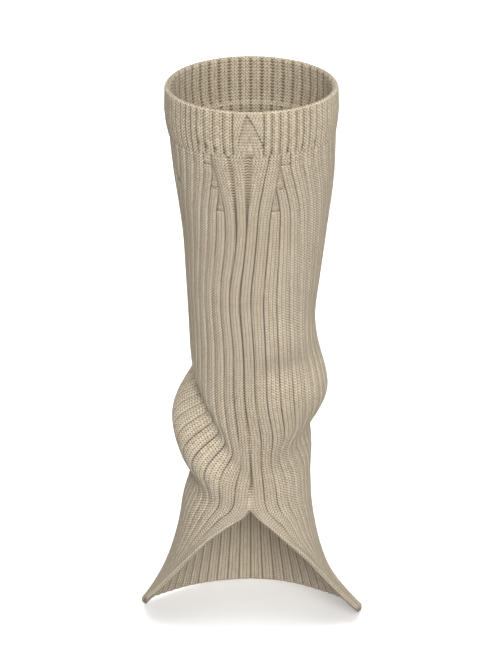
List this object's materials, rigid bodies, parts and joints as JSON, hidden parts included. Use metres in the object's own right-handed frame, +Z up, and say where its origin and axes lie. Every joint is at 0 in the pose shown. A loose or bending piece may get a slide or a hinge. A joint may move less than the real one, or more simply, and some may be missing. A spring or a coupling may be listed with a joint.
{
  "type": "ribbed knit leg warmer (one of a pair)",
  "caption": "Rib-knit leg warmer in its worn, hollow form: doubled cuff at the calf, slouched folds at the ankle and a front opening over the instep.",
  "frame": {"origin": "on the leg's axis at the middle of the cuff, where the wearer's calf holds it up", "axes": "+Z up the leg, -Y the front of the leg, +X to the right of someone facing the front"},
  "size_m": [0.1593, 0.1342, 0.391],
  "materials": {
    "leg_tube_knit": "matt oatmeal rib knit",
    "cuff_knit": "matt oatmeal narrow rib knit"
  },
  "bodies": {
    "root": {"leg_tube": "leg_tube_knit", "cuff": "cuff_knit"}
  },
  "joints": []
}
